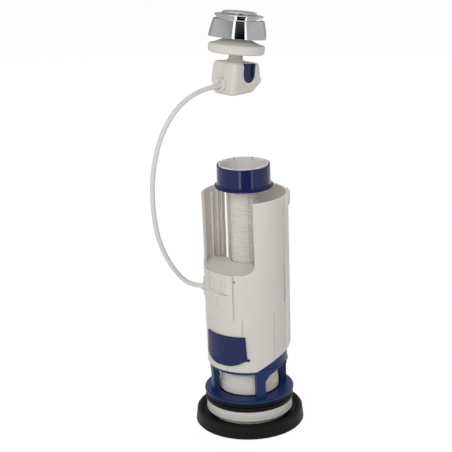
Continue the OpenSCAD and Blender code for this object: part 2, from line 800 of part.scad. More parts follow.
module overflow_riser() {
    hole = riser_r - riser_wall;
    teeth = [for (i = [0 : tooth_count - 1])
        let (z = tooth_z + i * tooth_pitch)
        each [[riser_r, z], [riser_r + tooth_depth, z + 0.9], [riser_r + tooth_depth, z + 1.4],
            [riser_r, z + 1.7]]];
    color(white) difference() {
        union() {
            revolve(concat([[hole, riser_z], [riser_r, riser_z]], teeth,
                [[riser_r, collar_z - 2], [cup_r, collar_z + 4.5], [cup_r, collar_top - 0.4],
                [cup_r - 0.4, collar_top], [cup_r - cup_wall - flute_depth, collar_top],
                [cup_r - cup_wall - flute_depth, collar_z + 6], [hole, collar_z + 0.5]]));
            at_angle(57) radial(riser_r - 0.6, riser_r + tooth_depth + 0.15)
                translate([-0.7, tooth_z - 2]) square([1.4, tooth_count * tooth_pitch + 4]);
            for (i = [0 : rack_count - 1])
                at_angle(rack_angle) radial(riser_r - riser_wall + 0.3, riser_r + rack_proud)
                    translate([0, tooth_z + 2 + i * rack_pitch]) rotate(rack_slant)
                        square([rack_w, rack_t], center = true);
        }
        for (i = [0 : flute_count - 1])
            rotate([0, 0, 22.5 + i * 360 / flute_count]) {
                translate([cup_r - cup_wall - flute_r, 0, collar_z + 6.5])
                    cylinder(r = flute_r, h = collar_h);
                translate([0, -notch_w / 2, collar_top - 1.4]) cube([collar_d, notch_w, 3]);
            }
    }
}

module overflow_collar() {
    r = collar_d / 2;
    hole = cup_r + seat_gap;
    lip = r + 2.4;
    color(navy) revolve([[hole, collar_z + 5.2], [hole, collar_top - 0.8], [hole + 0.3, collar_top - 0.5],
        [r - 0.5, collar_top - 0.5], [r - 0.1, collar_top - 1.1], [r, collar_z + 3.4],
        [r + 0.5, collar_z + 2.2], [lip - 0.3, collar_z + 1.5], [lip, collar_z + 0.9],
        [lip - 0.3, collar_z], [lip - 1.2, collar_z], [hole, collar_z + 2.6]]);
}

module cable_conduit() {
    last = len(cable_route) - 1;
    chord = valve_end - head_end;
    side = unit(cross(chord, cable_route[floor(last / 2)] - head_end));
    color(white) sweep([for (i = [0 : last]) route_ring(cable_route, i, cable_d / 2, cable_sides, side)]);
}

// Push-button head, drawn upright and then leaned back
head_base = [0, -10.5, 300.7];
shell_wall = 3.2;
cavity = head_w / 2 - shell_wall;
head_floor = 2.6;
head_roof = 2.5;
head_round = 5;
head_back_top = 3.2;
head_back_mid = 4.8;
head_back_foot = 2.4;
head_back_up = 2.6;
boss_r = 5.4;
boss_out = 2.6;
boss_up = 8.7;
collar_w = 1.6;
head_collar_h = 1.3;
seam_w = 0.5;
seam_depth = 0.5;
stem_r = stem_d / 2;
stem_bore_r = 4.2;
stem_flange_r = 9;
stem_flange_t = 2;
clamp_z = head_h + 6.7;
clamp_top = clamp_z + clamp_h;
clamp_cone_h = 5.4;
bezel_z = clamp_top + clamp_cone_h - 0.2;
bezel_top = bezel_z + bezel_h;
bezel_floor_z = bezel_z + 1.2;
bezel_floor_t = 1.8;
stem_top = bezel_floor_z + bezel_floor_t + 3;

rocker_y = 8.5;
rocker_z = boss_up + 7.8;
rocker_w = 6;
rocker_swing = asin(full_travel / rocker_y);
rocker_pin_r = 1.5;
rocker_hub_r = rocker_pin_r + 1.3;
rocker_nose_r = 1.2;
rocker_tip_r = 1.2;
rocker_tip_arm = 8.3;
rocker_tip_back = 5;
rocker_tip_u = rocker_tip_arm * sin(rocker_swing - rocker_tip_back);
rocker_tip_v = rocker_tip_arm * cos(rocker_swing - rocker_tip_back);
rocker_fork_w = 2 * wire_r + 1.2;
push_gap = 0.6;
pin_seat = 1;
head_ferrule_l = 5.5;

module head_frame() {
    translate(head_base) rotate([-head_tilt, 0, 0]) children();
}

module in_world_from_head() {
    rotate([head_tilt, 0, 0]) translate(-head_base) children();
}

// Rounded block of the whole housing, smaller towards its foot
module head_block() {
    top = head_w / 2 - head_round + 1.2;
    foot = head_w / 2 - head_round - 0.8;
    mid = top + 0.4;
    hull() {
        for (x = [-1, 1]) {
            translate([x * foot, -foot, head_round]) sphere(r = head_round, $fn = 32);
            translate([x * foot, foot + head_back_foot, head_round + head_back_up])
                sphere(r = head_round, $fn = 32);
            for (y = [-top, top + head_back_top])
                translate([x * top, y, head_h - 3.8]) sphere(r = 3.8, $fn = 32);
            for (y = [-mid, mid + head_back_mid])
                translate([x * mid, y, head_h * 0.45]) sphere(r = 3.8, $fn = 32);
        }
    }
}

module ferrule_space(r) {
    in_world_from_head() translate(head_end) rotate([-90, 0, 0]) cylinder(r = r, h = 14);
}

module cable_boss(r, length) {
    translate([0, 0, boss_up]) rotate([90, 0, 0]) cylinder(r = r, h = length);
}

// The line that shows where the two shells meet
module seam_groove() {
    keep = 1 - 2 * seam_depth / head_w;
    difference() {
        translate([-seam_w / 2, -head_w, -1]) cube([seam_w, 2.5 * head_w, head_h + 1.5]);
        translate([0, 0, head_h / 2]) scale([1, keep, keep]) translate([0, 0, -head_h / 2]) head_block();
        cable_boss(boss_r - seam_depth, head_w / 2 + boss_out - seam_depth);
    }
}

module head_body() {
    difference() {
        union() {
            head_block();
            cable_boss(boss_r, head_w / 2 + boss_out);
            translate([-5, head_w / 2 + head_back_mid - 1.4, rocker_z - 3]) rotate([0, 90, 0])
                cylinder(r = 3.2, h = 17);
            translate([0, 0, head_h - 1]) cylinder(r = stem_r + collar_w, h = 1 + head_collar_h);
            translate([-0.9, -head_w / 2 + 2.4, head_h - 1]) cube([1.8, 2, 1.9]);
        }
        seam_groove();
        translate([-stem_r - collar_w - 1, -1, head_h]) cube([collar_w + 0.2, 2, head_collar_h + 1]);
        translate([-cavity, -cavity, head_floor])
            cube([2 * cavity, 2 * cavity, head_h - head_floor - head_roof]);
        cylinder(r = stem_r + seat_gap, h = head_h + head_collar_h + 1);
        ferrule_space(ferrule_r + seat_gap);
        rocker_pin_space(rocker_pin_r + seat_gap, 2 * (cavity + pin_seat + seat_gap));
        rocker_pin_space(rocker_hub_r + slide_gap, rocker_w + 2 * slide_gap);
        clip_plan(clip_x0, head_w, seat_gap);
    }
}

module rocker_pin_space(r, length) {
    translate([-length / 2, rocker_y, rocker_z]) rotate([0, 90, 0]) cylinder(r = r, h = length);
}

module head_left_shell() {
    color(white) head_frame() intersection() {
        head_body();
        translate([-50, -50, -5]) cube([50, 100, head_h + 20]);
    }
}

module head_right_shell() {
    color(white) head_frame() intersection() {
        head_body();
        translate([0, -50, -5]) cube([50, 100, head_h + 20]);
    }
}

// Locking clip in the head's side
clip_y = 3.2;
clip_w = 12.6;
clip_z0 = head_h - 16.3;
clip_z1 = head_h - 0.4;
clip_x0 = cavity + pin_seat + 0.6;
clip_x1 = head_w / 2 + 0.5;

module clip_plan(x0, x1, grow) {
    r = clip_w / 2 + grow;
    translate([x0, clip_y, 0]) rotate([90, 0, 90]) linear_extrude(x1 - x0) {
        translate([0, clip_z0 + clip_w / 2]) circle(r);
        translate([-r, clip_z0 + clip_w / 2]) square([2 * r, clip_z1 + grow - clip_z0 - clip_w / 2]);
    }
}

module head_clip() {
    color(navy) head_frame() difference() {
        clip_plan(clip_x0 + seat_gap, clip_x1, 0);
        translate([clip_x0 + 0.7, clip_y + 1, clip_z0 + 4.5]) cube([head_w, 3.2, head_h]);
    }
}

module head_ferrule() {
    color(white) translate(head_end) rotate([-90, 0, 0]) cylinder(r = ferrule_r, h = head_ferrule_l);
}

module head_pull_wire() {
    hook_y = rocker_y - rocker_tip_u - rocker_tip_r;
    hook_z_in_head = rocker_z - rocker_tip_v;
    c = cos(head_tilt);
    s = sin(head_tilt);
    hook = head_base + [0, c * hook_y + s * hook_z_in_head, c * hook_z_in_head - s * hook_y];
    color(steel) pull_wire(head_end + [0, head_ferrule_l, 0], hook);
}

// The rocker's forked arm, which the button's tube presses, straddles the wire
module rocker_fork() {
    top = rocker_z - rocker_nose_r;
    difference() {
        union() {
            translate([-rocker_w / 2, 0, top]) rotate([0, 90, 0]) cylinder(r = rocker_nose_r, h = rocker_w);
            head_side(rocker_w)
                polygon([[rocker_y - 0.6, rocker_z - 2.2], [rocker_y - 2, rocker_z - 0.8],
                    [rocker_nose_r, top - 2.4], [rocker_nose_r * 0.8, top], [-rocker_nose_r * 0.8, top],
                    [-rocker_nose_r, top - 4.2], [1, top - 4.6]]);
        }
        translate([-rocker_fork_w / 2, -2 * rocker_nose_r, top - 5])
            cube([rocker_fork_w, rocker_y + 2 * rocker_nose_r - rocker_hub_r, 8]);
    }
}

module head_rocker() {
    tip_y = rocker_y - rocker_tip_u;
    tip_z = rocker_z - rocker_tip_v;
    color(cage_blue) head_frame() difference() {
        union() {
            rocker_pin_space(rocker_hub_r, rocker_w);
            rocker_fork();
            translate([-rocker_w / 2, tip_y, tip_z]) rotate([0, 90, 0])
                cylinder(r = rocker_tip_r, h = rocker_w);
            head_side(rocker_w)
                polygon([[rocker_y + 1.6, rocker_z - 1], [rocker_y - 1.6, rocker_z + 0.4],
                    [tip_y - 0.8, tip_z + 0.4], [tip_y + 0.8, tip_z - 0.4]]);
        }
        rocker_pin_space(rocker_pin_r + pin_gap, 3 * rocker_w);
    }
}

module rocker_pin() {
    color(steel) head_frame() rocker_pin_space(rocker_pin_r, 2 * (cavity + pin_seat));
}

module threaded_stem() {
    z0 = head_h - head_roof - stem_flange_t;
    color(white) head_frame() revolve([[stem_bore_r, z0], [stem_flange_r, z0],
        [stem_flange_r, z0 + stem_flange_t], [stem_r, z0 + stem_flange_t], [stem_r, stem_top - 0.6],
        [stem_r - 0.6, stem_top], [stem_bore_r, stem_top]]);
}

module clamp_nut() {
    facets = 16;
    turn = -1.5;
    r = clamp_d / 2;
    hole = stem_r + seat_gap;
    color(white) head_frame() difference() {
        union() {
            intersection() {
                translate([0, 0, clamp_z]) rotate([0, 0, turn]) cylinder(r = r, h = clamp_h, $fn = facets);
                revolve([[0, clamp_z], [r - 2, clamp_z], [r, clamp_z + 1.2], [r, clamp_top - 1],
                    [r - 1.6, clamp_top], [0, clamp_top]]);
            }
            revolve([[0, clamp_top - 1], [r - 3.4, clamp_top - 1], [r - 3.4, clamp_top],
                [stem_r + 2.4, clamp_top + clamp_cone_h], [0, clamp_top + clamp_cone_h]]);
        }
        translate([0, 0, clamp_z - 1]) cylinder(r = hole, h = clamp_h + clamp_cone_h + 2);
        revolve([[stem_r + 4, clamp_z - 1], [r - 5, clamp_z - 1], [r - 5, clamp_z + 3],
            [stem_r + 4, clamp_z + 4]]);
    }
}

bezel_wall = 1.1;
plate_t = 1.5;
full_r = bezel_mouth_d / 2 - slide_gap;
press_room = 1;
rim_t = 2.2;
skirt_in = 1.8;
full_z = stem_top + full_travel + press_room;
full_top = bezel_top + 4.2;
half_r = half_d / 2;
half_z = full_top + 0.3;
half_top = half_z + 2.4;
push_tube_r = 3.7;
push_pin_r = 1.9;
push_pin_bore_r = push_pin_r + slide_gap;
full_coil_r = 12;
full_wire_r = 0.5;
full_turns = 5;
half_coil_r = 6;
half_wire_r = 0.4;
half_turns = 4;
coil_gap = 0.1;

module button_bezel() {
    mouth = bezel_mouth_d / 2;
    foot = bezel_d / 2;
    curve = [for (i = [0 : 6])
        let (k = i / 6)
        [foot + (mouth + 0.7 - foot) * (0.72 * k + 0.28 * k * k), bezel_z + (bezel_h - 0.5) * k]];
    color(chrome) head_frame() revolve(concat(curve, [[mouth + 0.4, bezel_top], [mouth, bezel_top - 0.3],
        [mouth, bezel_floor_z + bezel_floor_t + 4], [mouth + 0.8, bezel_floor_z + bezel_floor_t],
        [stem_r + 2.6, bezel_floor_z + bezel_floor_t], [stem_r + 2.4, stem_top],
        [stem_r + seat_gap, stem_top], [stem_r + seat_gap, bezel_floor_z],
        [foot - bezel_wall - 1, bezel_floor_z], [foot - bezel_wall, bezel_z]]));
}

module full_flush_button() {
    well = half_r + slide_gap;
    rim_z = full_top - rim_t;
    color(chrome) head_frame() revolve([[push_pin_bore_r, full_z], [full_r - skirt_in, full_z],
        [full_r - skirt_in, rim_z], [full_r - 0.3, rim_z], [full_r, rim_z + 0.3], [full_r, full_top - 0.9],
        [full_r - 0.3, full_top - 0.4], [full_r - 1.2, full_top],
        [well + 0.3, full_top + 0.3], [well, full_top], [well, full_z + plate_t],
        [push_pin_bore_r, full_z + plate_t]]);
}

module full_push_tube() {
    end = rocker_z + push_gap;
    color(white) head_frame() ring(push_pin_bore_r, push_tube_r, end, full_z);
}

module half_flush_button() {
    skirt_z = full_z + plate_t + half_travel + slide_gap;
    color(chrome) head_frame() revolve([[0, half_z], [half_r - 2.2, half_z], [half_r - 2.2, skirt_z],
        [half_r - 0.8, skirt_z], [half_r - 0.8, half_z], [half_r - 0.2, half_z], [half_r, half_z + 0.3],
        [half_r - 0.1, half_z + 1.1], [half_r - 0.6, half_z + 1.7], [half_r - 2, half_top - 0.2],
        [half_r - 3.4, half_top], [0, half_top + 0.5]]);
}

module half_push_pin() {
    end = rocker_z + half_travel + 1;
    color(white) head_frame() translate([0, 0, end]) cylinder(r = push_pin_r, h = half_z - end);
}

module full_return_spring() {
    z0 = bezel_floor_z + bezel_floor_t + coil_gap;
    color(steel) head_frame() coil_spring(full_coil_r, full_wire_r, z0, full_z - coil_gap - z0, full_turns);
}

module half_return_spring() {
    z0 = full_z + plate_t + coil_gap;
    color(steel) head_frame() coil_spring(half_coil_r, half_wire_r, z0, half_z - coil_gap - z0, half_turns);
}

base_seal();
back_nut();
flange_gasket();
cage_base();
valve_body();
flush_shutter();
cable_bracket();
valve_ferrule();
valve_pull_wire();
lever_pin();
lift_lever();
valve_bell();
main_seal();
seal_retainer();
float_cup();
overflow_riser();
overflow_collar();
cable_conduit();
head_ferrule();
head_left_shell();
head_right_shell();
head_clip();
head_rocker();
rocker_pin();
head_pull_wire();
threaded_stem();
clamp_nut();
button_bezel();
full_flush_button();
full_push_tube();
full_return_spring();
half_flush_button();
half_push_pin();
half_return_spring();
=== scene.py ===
"""Looks of a cable-operated dual-flush toilet valve, in metres in the part's own frame."""

import json
import math

import bpy
from mathutils import Matrix, Vector


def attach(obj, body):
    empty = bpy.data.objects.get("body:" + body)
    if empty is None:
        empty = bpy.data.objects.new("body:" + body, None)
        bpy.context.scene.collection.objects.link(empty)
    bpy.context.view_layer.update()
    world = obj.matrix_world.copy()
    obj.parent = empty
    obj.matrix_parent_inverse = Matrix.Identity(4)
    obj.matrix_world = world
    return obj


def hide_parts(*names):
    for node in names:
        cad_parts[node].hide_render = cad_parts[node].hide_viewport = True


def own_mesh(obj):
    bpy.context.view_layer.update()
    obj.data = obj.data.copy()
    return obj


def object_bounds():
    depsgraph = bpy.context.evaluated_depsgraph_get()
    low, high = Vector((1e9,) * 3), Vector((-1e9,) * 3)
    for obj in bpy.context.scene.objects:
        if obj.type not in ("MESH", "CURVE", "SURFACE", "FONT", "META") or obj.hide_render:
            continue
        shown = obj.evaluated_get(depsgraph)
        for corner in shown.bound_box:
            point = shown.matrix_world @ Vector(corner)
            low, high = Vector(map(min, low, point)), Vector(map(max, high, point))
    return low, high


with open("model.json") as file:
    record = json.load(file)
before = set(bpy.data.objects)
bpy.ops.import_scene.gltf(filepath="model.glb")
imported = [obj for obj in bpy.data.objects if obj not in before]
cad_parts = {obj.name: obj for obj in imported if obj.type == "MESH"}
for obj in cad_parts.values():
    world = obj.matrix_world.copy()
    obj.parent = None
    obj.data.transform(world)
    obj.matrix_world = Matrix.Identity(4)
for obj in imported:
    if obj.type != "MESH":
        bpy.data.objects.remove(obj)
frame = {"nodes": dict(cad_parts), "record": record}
nodes = frame["nodes"]
cad_low, cad_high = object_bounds()

MM = 0.001

# Plastics: the lightest and darkest tone of their mottling, and how far light goes into the white one
WHITE = ((0.70, 0.675, 0.645), (0.685, 0.66, 0.63))
SLEEVE_WHITE = ((0.69, 0.677, 0.657), (0.68, 0.667, 0.647))
NAVY = ((0.0145, 0.017, 0.088), (0.0125, 0.015, 0.080))
CAGE_BLUE = ((0.0105, 0.029, 0.112), (0.0085, 0.025, 0.100))
WHITE_GLOW = 0.6
GLOW_DEPTH = 3.5 * MM
GLOW_REACH = (1.0, 0.97, 0.94)
GRAIN_HEIGHT = 0.05 * MM
RUBBER_GRAIN_HEIGHT = 0.06 * MM

# Width of the softened edges, and the samples that soften them
PLASTIC_EDGE = 0.25 * MM
RUBBER_EDGE = 0.5 * MM
CHROME_EDGE = 0.3 * MM
STEEL_EDGE = 0.15 * MM
EDGE_SAMPLES = 6

# Noise patterns, in cells per metre
MOTTLE_CELLS = 90
SHEEN_CELLS = 160
GRAIN_CELLS = 2600
BLOOM_CELLS = 60
RUBBER_SHEEN_CELLS = 220
RUBBER_GRAIN_CELLS = 1500
HAZE_CELLS = 45
CHROME_SHEEN_CELLS = 300
DRAWN_CELLS = 900

# Camera: where the photograph was taken from
CAMERA_AZIMUTH = math.radians(45)
CAMERA_DISTANCE = 1.1544
CAMERA_HEIGHT = 0.5548
CAMERA_PITCH = math.radians(17.87)
CAMERA_YAW = math.radians(-0.82)
CAMERA_ROLL = math.radians(1.80)
CAMERA_LENS = 110.9
SENSOR_WIDTH = 36.0
NEAR_CLIP = 0.05
FAR_CLIP = 50

# Floor and world
FLOOR_HALF = 40.0
FLOOR_ALBEDO = 0.88
FLOOR_SHADOW_SHARE = 0.08
FLOOR_WHITE = 1.03
AMBIENT = 0.46
AMBIENT_TINT = (1.0, 0.985, 0.965)

# Each lamp's azimuth and elevation in degrees, its distance, width and height, and its power
LAMPS = {
    "key": (33, 30, 1.4, 0.8, 0.8, 9.0),
    "back_fill": (215, 30, 1.6, 1.6, 1.2, 10.0),
}

# Cards that only reflections see
CARD_DISTANCE = 0.6
CARD_TOP = 1.4
GLINT_TOP = 0.18
CARD_FADE_LOW = 0.55
CARD_FADE_HIGH = 0.85
# Each card's azimuth and half width in degrees, its foot and top, and its strength low down and high up
CARDS = {
    "dark_card": (55, 21, 0.0, CARD_TOP, 0.0, 0.11),
    "left_glint": (29, 4.4, 0.0, GLINT_TOP, 4.5, 4.5),
    "right_glint": (79.5, 3.7, 0.0, GLINT_TOP, 3.2, 3.2),
    "left_strip": (29, 5.2, GLINT_TOP, CARD_TOP, 1.6, 1.5),
    "right_strip": (79.5, 3.7, GLINT_TOP, CARD_TOP, 1.6, 0.6),
    "left_panel": (-35, 62, 0.25, CARD_TOP, 0.55, 0.36),
    "right_panel": (132, 52, 0.25, CARD_TOP, 0.55, 0.40),
    "back_panel": (225, 50, 0.25, CARD_TOP, 0.40, 0.40),
}

# The cable's route from the head to the valve, as the solid has it
CABLE_ROUTE = [
    (0, -0.026, 0.311), (0, -0.030, 0.311), (0, -0.038, 0.311), (-0.001, -0.046, 0.310),
    (-0.002, -0.054, 0.308), (-0.003, -0.062, 0.305), (-0.005, -0.070, 0.299), (-0.007, -0.077, 0.291),
    (-0.009, -0.082, 0.282), (-0.011, -0.085, 0.273), (-0.013, -0.087, 0.264), (-0.015, -0.088, 0.255),
    (-0.017, -0.088, 0.246), (-0.019, -0.088, 0.237), (-0.021, -0.087, 0.228), (-0.023, -0.085, 0.217),
    (-0.024, -0.083, 0.207), (-0.026, -0.081, 0.198), (-0.027, -0.078, 0.189), (-0.028, -0.075, 0.180),
    (-0.028, -0.071, 0.171), (-0.028, -0.067, 0.163), (-0.028, -0.062, 0.155), (-0.028, -0.056, 0.147),
    (-0.028, -0.049, 0.139), (-0.027, -0.045, 0.135), (-0.024, -0.040, 0.133), (-0.021, -0.035, 0.1315),
]
CABLE_DIAMETER = 0.004
CABLE_ROUNDNESS = 14
CABLE_STEPS = 8
# Shares of the way to their neighbours' middle that the inner points are moved, one pass each
CABLE_SMOOTHING = (0.5, -0.5) * 8 + (0.5,)

# Each spring: the node it replaces, its body and joint, its foot above the lid clamp, its length and
# travel, the radius of its coil and wire, and its turns
SPRINGS = {
    "full_spring_coil": ("full_return_spring", "valve_frame", "full_press",
                         3.1 * MM, 9.3 * MM, 5.5 * MM, 12 * MM, 0.5 * MM, 5),
    "half_spring_coil": ("half_return_spring", "full_button", "half_press",
                         14.1 * MM, 5.3 * MM, 3.0 * MM, 6 * MM, 0.4 * MM, 4),
}
SPRING_STEPS = 28
WIRE_SIDES = 10

# Nodes whose finish differs from the rest of their slot
OWN_FINISH = {"half_flush_button": "satin_chrome", "overflow_collar": "polished_navy"}


class Nodes:
    """Adds shader nodes to a material and links them in one call each."""

    def __init__(self, name):
        self.material = bpy.data.materials.new(name)
        self.material.use_nodes = True
        self.tree = self.material.node_tree
        self.shader = self.tree.nodes["Principled BSDF"]
        self.object_coords = self.add("ShaderNodeTexCoord").outputs["Object"]

    def add(self, kind, **inputs):
        node = self.tree.nodes.new(kind)
        self.set(node, **inputs)
        return node

    def set(self, node, **inputs):
        for name, value in inputs.items():
            socket = node.inputs[name.replace("_", " ")]
            if isinstance(value, bpy.types.NodeSocket):
                self.tree.links.new(value, socket)
            else:
                socket.default_value = value

    def noise(self, scale, detail=2.0):
        """A noise pattern whose scale is in cells per metre."""
        node = self.add("ShaderNodeTexNoise", Vector=self.object_coords, Scale=scale, Detail=detail)
        return node.outputs["Fac"]

    def between(self, factor, low, high):
        """Remaps a 0 to 1 factor to a range."""
        node = self.add("ShaderNodeMapRange", Value=factor, To_Min=low, To_Max=high)
        return node.outputs["Result"]

    def mix_colour(self, factor, first, second):
        node = self.add("ShaderNodeMix")
        node.data_type = "RGBA"
        colours = [s for s in node.inputs if s.type == "RGBA"]
        self.tree.links.new(factor, node.inputs["Factor"])
        colours[0].default_value = (*first, 1)
        colours[1].default_value = (*second, 1)
        return next(s for s in node.outputs if s.type == "RGBA")

    def rounded_edges(self, radius):
        node = self.add("ShaderNodeBevel", Radius=radius)
        node.samples = EDGE_SAMPLES
        return node.outputs["Normal"]

    def bump(self, height, distance, strength, normal):
        node = self.add("ShaderNodeBump", Height=height, Distance=distance, Strength=strength, Normal=normal)
        return node.outputs["Normal"]


def moulded_plastic(name, light, dark, roughness, grain, specular, glow=0.0):
    """Injection-moulded plastic: faint flow mottling, a fine grain, softened edges, and light let through."""
    n = Nodes(name)
    mottle = n.noise(MOTTLE_CELLS, 3.0)
    fine = n.noise(GRAIN_CELLS)
    n.set(n.shader, Base_Color=n.mix_colour(mottle, dark, light))
    n.set(n.shader, Roughness=n.between(n.noise(SHEEN_CELLS), roughness - 0.04, roughness + 0.05))
    n.shader.inputs["Specular IOR Level"].default_value = specular
    n.shader.inputs["Subsurface Weight"].default_value = glow
    n.shader.inputs["Subsurface Scale"].default_value = GLOW_DEPTH
    n.shader.inputs["Subsurface Radius"].default_value = GLOW_REACH
    n.set(n.shader, Normal=n.bump(fine, GRAIN_HEIGHT, grain, n.rounded_edges(PLASTIC_EDGE)))
    return n.material


def soft_rubber(name):
    """Matt black rubber with a faint bloom."""
    n = Nodes(name)
    bloom = n.noise(BLOOM_CELLS, 4.0)
    n.set(n.shader, Base_Color=n.mix_colour(bloom, (0.0035, 0.0035, 0.0035), (0.006, 0.0059, 0.0058)))
    n.set(n.shader, Roughness=n.between(n.noise(RUBBER_SHEEN_CELLS), 0.44, 0.58))
    n.shader.inputs["Specular IOR Level"].default_value = 0.14
    grain = n.noise(RUBBER_GRAIN_CELLS)
    n.set(n.shader, Normal=n.bump(grain, RUBBER_GRAIN_HEIGHT, 0.35, n.rounded_edges(RUBBER_EDGE)))
    return n.material


def chrome_plating(name, smoothest, roughest):
    """Chrome with a slight haze, polished or satin by its roughness."""
    n = Nodes(name)
    n.shader.inputs["Metallic"].default_value = 1.0
    haze = n.noise(HAZE_CELLS)
    n.set(n.shader, Base_Color=n.mix_colour(haze, (0.70, 0.705, 0.715), (0.73, 0.733, 0.74)))
    n.set(n.shader, Roughness=n.between(n.noise(CHROME_SHEEN_CELLS), smoothest, roughest))
    n.set(n.shader, Normal=n.rounded_edges(CHROME_EDGE))
    return n.material


def plain_steel(name):
    """Drawn steel of the wires, pins and springs."""
    n = Nodes(name)
    n.shader.inputs["Metallic"].default_value = 1.0
    drawn = n.noise(DRAWN_CELLS)
    n.set(n.shader, Base_Color=n.mix_colour(drawn, (0.42, 0.42, 0.43), (0.55, 0.55, 0.56)))
    n.set(n.shader, Roughness=n.between(drawn, 0.24, 0.38))
    n.set(n.shader, Normal=n.rounded_edges(STEEL_EDGE))
    return n.material


def make_materials():
    """One material for each slot of the record, and for each finish in OWN_FINISH."""
    return {
        "white_plastic": moulded_plastic(
            "white_plastic", *WHITE, roughness=0.42, grain=0.16, specular=0.30, glow=WHITE_GLOW),
        "cable_sleeve": moulded_plastic(
            "cable_sleeve", *SLEEVE_WHITE, roughness=0.38, grain=0.02, specular=0.30),
        "navy_plastic": moulded_plastic(
            "navy_plastic", *NAVY, roughness=0.20, grain=0.08, specular=0.22),
        "polished_navy": moulded_plastic(
            "polished_navy", *NAVY, roughness=0.09, grain=0.02, specular=0.24),
        "cage_blue_plastic": moulded_plastic(
            "cage_blue_plastic", *CAGE_BLUE, roughness=0.34, grain=0.14, specular=0.20),
        "black_rubber": soft_rubber("black_rubber"),
        "chrome_plating": chrome_plating("chrome_plating", smoothest=0.04, roughest=0.07),
        "satin_chrome": chrome_plating("satin_chrome", smoothest=0.30, roughest=0.36),
        "steel": plain_steel("steel"),
    }


def finish_cad_nodes(materials):
    """Gives each solid the material of its slot, or its own finish."""
    for part in frame["record"]["subparts"]:
        name = part["node"]
        mesh = nodes[name].data
        mesh.materials.clear()
        mesh.materials.append(materials[OWN_FINISH.get(name, part["material_slot"])])


def smoothed(route):
    """The route without its small kinks: inner points drawn to their neighbours and back by turns."""
    points = [Vector(place) for place in route]
    for weight in CABLE_SMOOTHING:
        inner = [b + weight * ((a + c) / 2 - b) for a, b, c in zip(points, points[1:], points[2:])]
        points = [points[0], *inner, points[-1]]
    return points


def make_cable(material):
    """The sleeved cable from the head to the drum, as one smooth tube."""
    route = smoothed(CABLE_ROUTE)
    curve = bpy.data.curves.new("cable_sleeve_tube", "CURVE")
    curve.dimensions = "3D"
    curve.bevel_depth = CABLE_DIAMETER / 2
    curve.bevel_resolution = CABLE_ROUNDNESS
    curve.resolution_u = CABLE_STEPS
    curve.use_fill_caps = True
    spline = curve.splines.new("BEZIER")
    spline.bezier_points.add(len(route) - 1)
    for point, place in zip(spline.bezier_points, route):
        point.co = place
        point.handle_left_type = "AUTO"
        point.handle_right_type = "AUTO"
    curve.materials.append(material)
    cable = bpy.data.objects.new("cable_sleeve_tube", curve)
    bpy.context.scene.collection.objects.link(cable)
    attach(cable, "valve_frame")
    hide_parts("cable_conduit")


def make_spring(name, node, body, joint, rise, length, travel, coil_r, wire_r, turns, material):
    """A coil spring in the head, standing above the lid clamp and carried by its body."""
    clamp = next(m for m in frame["record"]["mounts"] if m["name"] == "lid_clamp")
    up = Vector(clamp["axis"]).normalized()
    foot = Vector(clamp["pos_m"]) + rise * up
    across = up.orthogonal().normalized()
    aside = up.cross(across)
    steps = SPRING_STEPS * turns
    points = []
    for i in range(steps + 1):
        around = 2 * math.pi * turns * i / steps
        outward = math.cos(around) * across + math.sin(around) * aside
        middle = foot + coil_r * outward + (wire_r + (length - 2 * wire_r) * i / steps) * up
        for j in range(WIRE_SIDES):
            turn = 2 * math.pi * j / WIRE_SIDES
            points.append(middle + wire_r * (math.cos(turn) * outward + math.sin(turn) * up))
    faces = [tuple(range(WIRE_SIDES)), tuple(range(len(points) - 1, len(points) - 1 - WIRE_SIDES, -1))]
    for i in range(steps):
        for j in range(WIRE_SIDES):
            a, b = i * WIRE_SIDES + j, i * WIRE_SIDES + (j + 1) % WIRE_SIDES
            faces.append((a, a + WIRE_SIDES, b + WIRE_SIDES, b))
    mesh = bpy.data.meshes.new(name)
    mesh.from_pydata(points, [], faces)
    mesh.polygons.foreach_set("use_smooth", [len(f) == 4 for f in faces])
    mesh.materials.append(material)
    spring = bpy.data.objects.new(name, mesh)
    bpy.context.scene.collection.objects.link(spring)
    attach(spring, body)
    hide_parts(node)
    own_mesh(spring)


def make_camera():
    """The photograph's camera: turned to its azimuth, then pitched, yawed and rolled."""
    camera = bpy.data.cameras.new("camera")
    camera.lens = CAMERA_LENS
    camera.sensor_width = SENSOR_WIDTH
    camera.clip_start = NEAR_CLIP
    camera.clip_end = FAR_CLIP
    level_right = Vector((math.cos(CAMERA_YAW), -math.sin(CAMERA_YAW), 0))
    level_ahead = Vector((math.sin(CAMERA_YAW), math.cos(CAMERA_YAW), 0))
    up_axis = Vector((0, 0, 1))
    ahead = math.cos(CAMERA_PITCH) * level_ahead - math.sin(CAMERA_PITCH) * up_axis
    top = math.sin(CAMERA_PITCH) * level_ahead + math.cos(CAMERA_PITCH) * up_axis
    right = math.cos(CAMERA_ROLL) * level_right - math.sin(CAMERA_ROLL) * top
    up = math.sin(CAMERA_ROLL) * level_right + math.cos(CAMERA_ROLL) * top
    pose = Matrix((right, up, -ahead)).transposed().to_4x4()
    pose.translation = Vector((0, -CAMERA_DISTANCE, CAMERA_HEIGHT))
    holder = bpy.data.objects.new("camera", camera)
    holder.matrix_world = Matrix.Rotation(CAMERA_AZIMUTH, 4, "Z") @ pose
    bpy.context.scene.collection.objects.link(holder)
    bpy.context.scene.camera = holder


def background_share(tree):
    """1 for rays that should see the white background: camera, glossy and transmission rays."""
    path = tree.nodes.new("ShaderNodeLightPath")
    total = path.outputs["Is Camera Ray"]
    for name in ("Is Glossy Ray", "Is Transmission Ray"):
        add = tree.nodes.new("ShaderNodeMath")
        add.operation = "MAXIMUM"
        tree.links.new(total, add.inputs[0])
        tree.links.new(path.outputs[name], add.inputs[1])
        total = add.outputs[0]
    return total


